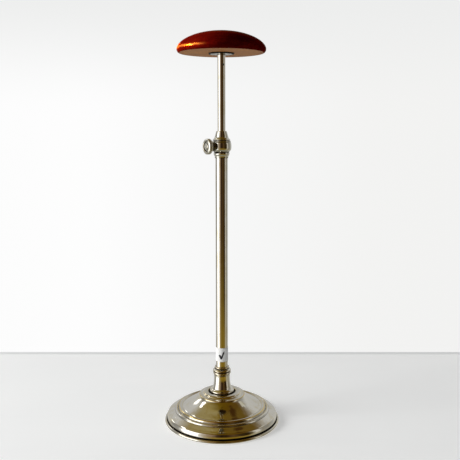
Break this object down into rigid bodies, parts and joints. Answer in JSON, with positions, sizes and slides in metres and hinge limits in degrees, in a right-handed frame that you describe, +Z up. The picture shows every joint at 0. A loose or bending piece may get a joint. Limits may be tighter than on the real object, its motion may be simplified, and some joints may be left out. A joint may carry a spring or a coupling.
{
  "type": "adjustable hat display stand",
  "caption": "Counter-top display stand: wooden domed cap on a rod that telescopes in a plated tube, locked by a thumbscrew collar, on a round weighted base.",
  "frame": {"origin": "centre of the resting face under the felt, on the stand's axis", "axes": "+Z up along the tube; -Y towards the viewer; the thumbscrew leaves towards -X and slightly -Y"},
  "size_m": [0.1544, 0.1544, 0.5123],
  "materials": {
    "nickel_plate": "nickel plating over brass, polished, worn warm with age",
    "mahogany": "turned mahogany, dark red gloss lacquer on the dome, bare tan wood underneath",
    "steel": "plain steel, lightly oxidised",
    "raw_brass": "unplated turned brass",
    "cast_iron": "as cast, black",
    "fibre": "red-brown vulcanised fibre",
    "paper": "matt white paper, hand-inked tick",
    "felt": "dark green wool felt"
  },
  "bodies": {
    "stand": {"felt_pad": "felt", "base_plate": "steel", "base_shell": "nickel_plate", "base_weight": "cast_iron", "tie_stud": "steel", "tie_washer": "steel", "tie_nut": "steel", "neck_socket": "nickel_plate", "neck_ring": "nickel_plate", "outer_tube": "nickel_plate", "paper_label": "paper", "collar_body": "nickel_plate", "collar_cap": "nickel_plate", "collar_bush": "fibre"},
    "guide": {"rod_guide": "fibre"},
    "head": {"rod": "nickel_plate", "rod_end_screw": "steel", "cap_plate": "nickel_plate", "cap_dome": "mahogany", "cap_screw_1": "steel", "cap_screw_2": "steel", "cap_screw_3": "steel", "cap_set_screw": "steel"},
    "pad": {"clamp_pad": "raw_brass"},
    "thumbscrew": {"thumbscrew_head": "nickel_plate", "thumbscrew_shank": "steel"}
  },
  "joints": [
    {"name": "height_slide", "type": "slide", "parent": "stand", "child": "guide", "axis": [0, 0, 1], "range_m": [-0.08, 0.17]},
    {"name": "head_swivel", "type": "hinge", "parent": "guide", "child": "head", "pos_m": [0, 0, 0.2], "axis": [0, 0, 1], "continuous": true},
    {"name": "thumbscrew_advance", "type": "slide", "parent": "stand", "child": "pad", "axis": [-0.848, -0.5299, 0], "range_m": [0, 0.00125]},
    {"name": "thumbscrew_turn", "type": "hinge", "parent": "pad", "child": "thumbscrew", "pos_m": [0, 0, 0.3688], "axis": [-0.848, -0.5299, 0], "range_deg": [0, 540]}
  ],
  "couplings": [
    {"joint": "thumbscrew_advance", "follows": "thumbscrew_turn", "m_per_rad": 0.00012892}
  ]
}
